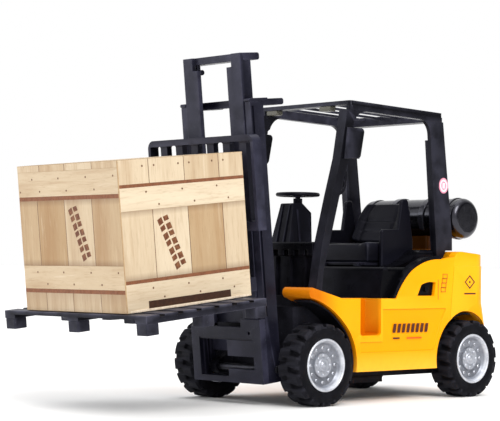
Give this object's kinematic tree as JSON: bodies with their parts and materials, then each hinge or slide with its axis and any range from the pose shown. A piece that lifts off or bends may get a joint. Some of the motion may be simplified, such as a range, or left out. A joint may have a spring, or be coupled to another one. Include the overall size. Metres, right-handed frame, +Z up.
{
  "type": "toy forklift",
  "caption": "Toy counterbalance forklift with a telescoping mast that tilts, rolling wheels, an open cab with roof guard, and a pallet with a printed card crate on its forks.",
  "frame": {"origin": "under the middle of the whole toy, on the ground the tyres stand on", "axes": "+X to the truck's left side, +Y to its rear (the forks point to -Y), +Z up"},
  "size_m": [0.0796, 0.191, 0.1288],
  "materials": {
    "yellow_body": "smooth, semi-gloss",
    "black_plastic": "matte moulded",
    "black_satin": "satin moulded",
    "seat_black": "satin moulded",
    "guard_black": "satin moulded",
    "mast_black": "satin moulded",
    "pallet_black": "satin moulded",
    "tank_black": "semi-gloss moulded",
    "vent_dark": "matte",
    "lamp_grey": "grey lens moulding",
    "steel": "drawn rod",
    "rim_silver": "silver paint on moulded plastic",
    "tyre": "soft matte rubber",
    "crate_card": "card printed with wooden planks"
  },
  "bodies": {
    "chassis": {"chassis_frame": "black_plastic", "mast_brackets": "black_plastic", "arch_liners": "black_plastic", "body_shell": "yellow_body", "vent_inserts": "vent_dark", "counterweight": "yellow_body", "cab_floor": "black_plastic", "front_panel": "black_plastic", "cowl": "black_satin", "steering_console": "black_satin", "engine_hood": "black_satin", "seat_base": "black_plastic", "seat_cushion": "seat_black", "seat_back": "seat_black", "hip_restraints": "black_plastic", "guard_front_post_left": "guard_black", "guard_front_post_right": "guard_black", "guard_rear_post_left": "guard_black", "guard_rear_post_right": "guard_black", "guard_roof_frame": "guard_black", "guard_roof_bars": "guard_black", "work_lamps": "lamp_grey", "grab_handle": "guard_black", "gas_tank": "tank_black", "tank_straps": "black_plastic", "tank_collars": "tank_black"},
    "front_wheels": {"front_axle_rod": "steel", "rim_front_left": "rim_silver", "rim_front_right": "rim_silver", "tyre_front_left": "tyre", "tyre_front_right": "tyre"},
    "rear_wheels": {"rear_axle_rod": "steel", "rim_rear_left": "rim_silver", "rim_rear_right": "rim_silver", "tyre_rear_left": "tyre", "tyre_rear_right": "tyre"},
    "steering": {"steering_wheel": "black_plastic", "steering_shaft": "black_plastic"},
    "outer_mast": {"outer_mast_left": "mast_black", "outer_mast_right": "mast_black", "outer_mast_top_beam": "mast_black", "outer_mast_front_plate": "mast_black", "outer_mast_ties": "mast_black", "tilt_pin": "steel"},
    "inner_mast": {"inner_mast_left": "mast_black", "inner_mast_right": "mast_black", "inner_mast_top_bar": "mast_black", "inner_mast_tie": "mast_black", "chain_rollers": "mast_black"},
    "carriage": {"carriage_plate": "mast_black", "load_backrest": "mast_black", "fork_left": "mast_black", "fork_right": "mast_black"},
    "pallet": {"pallet_deck": "pallet_black", "pallet_feet": "pallet_black"},
    "crate": {"crate_walls": "crate_card", "crate_lid": "crate_card", "crate_base": "crate_card", "crate_flap": "crate_card"}
  },
  "joints": [
    {"name": "front_axle_spin", "type": "hinge", "parent": "chassis", "child": "front_wheels", "pos_m": [0, -0.00209, 0.01504], "axis": [1, 0, 0], "continuous": true},
    {"name": "rear_axle_spin", "type": "hinge", "parent": "chassis", "child": "rear_wheels", "pos_m": [0, 0.08041, 0.01504], "axis": [1, 0, 0], "continuous": true},
    {"name": "steering_turn", "type": "hinge", "parent": "chassis", "child": "steering", "pos_m": [0, 0.01611, 0.0726], "axis": [0, 0, 1], "continuous": true},
    {"name": "mast_tilt", "type": "hinge", "parent": "chassis", "child": "outer_mast", "pos_m": [0, -0.01232, 0.01321], "axis": [-1, 0, 0], "range_deg": [0, 8]},
    {"name": "inner_mast_lift", "type": "slide", "parent": "outer_mast", "child": "inner_mast", "axis": [0, -0.104, 0.9946], "range_m": [-0.0135, 0.04]},
    {"name": "carriage_lift", "type": "slide", "parent": "inner_mast", "child": "carriage", "axis": [0, -0.104, 0.9946], "range_m": [-0.0135, 0.04]},
    {"name": "pallet_lift_off", "type": "slide", "parent": "carriage", "child": "pallet", "axis": [0, -0.104, 0.9946], "range_m": [0, 0.02]},
    {"name": "crate_lift_off", "type": "slide", "parent": "pallet", "child": "crate", "axis": [0, -0.104, 0.9946], "range_m": [0, 0.03]}
  ],
  "couplings": [
    {"joint": "carriage_lift", "follows": "inner_mast_lift", "ratio": 1}
  ]
}
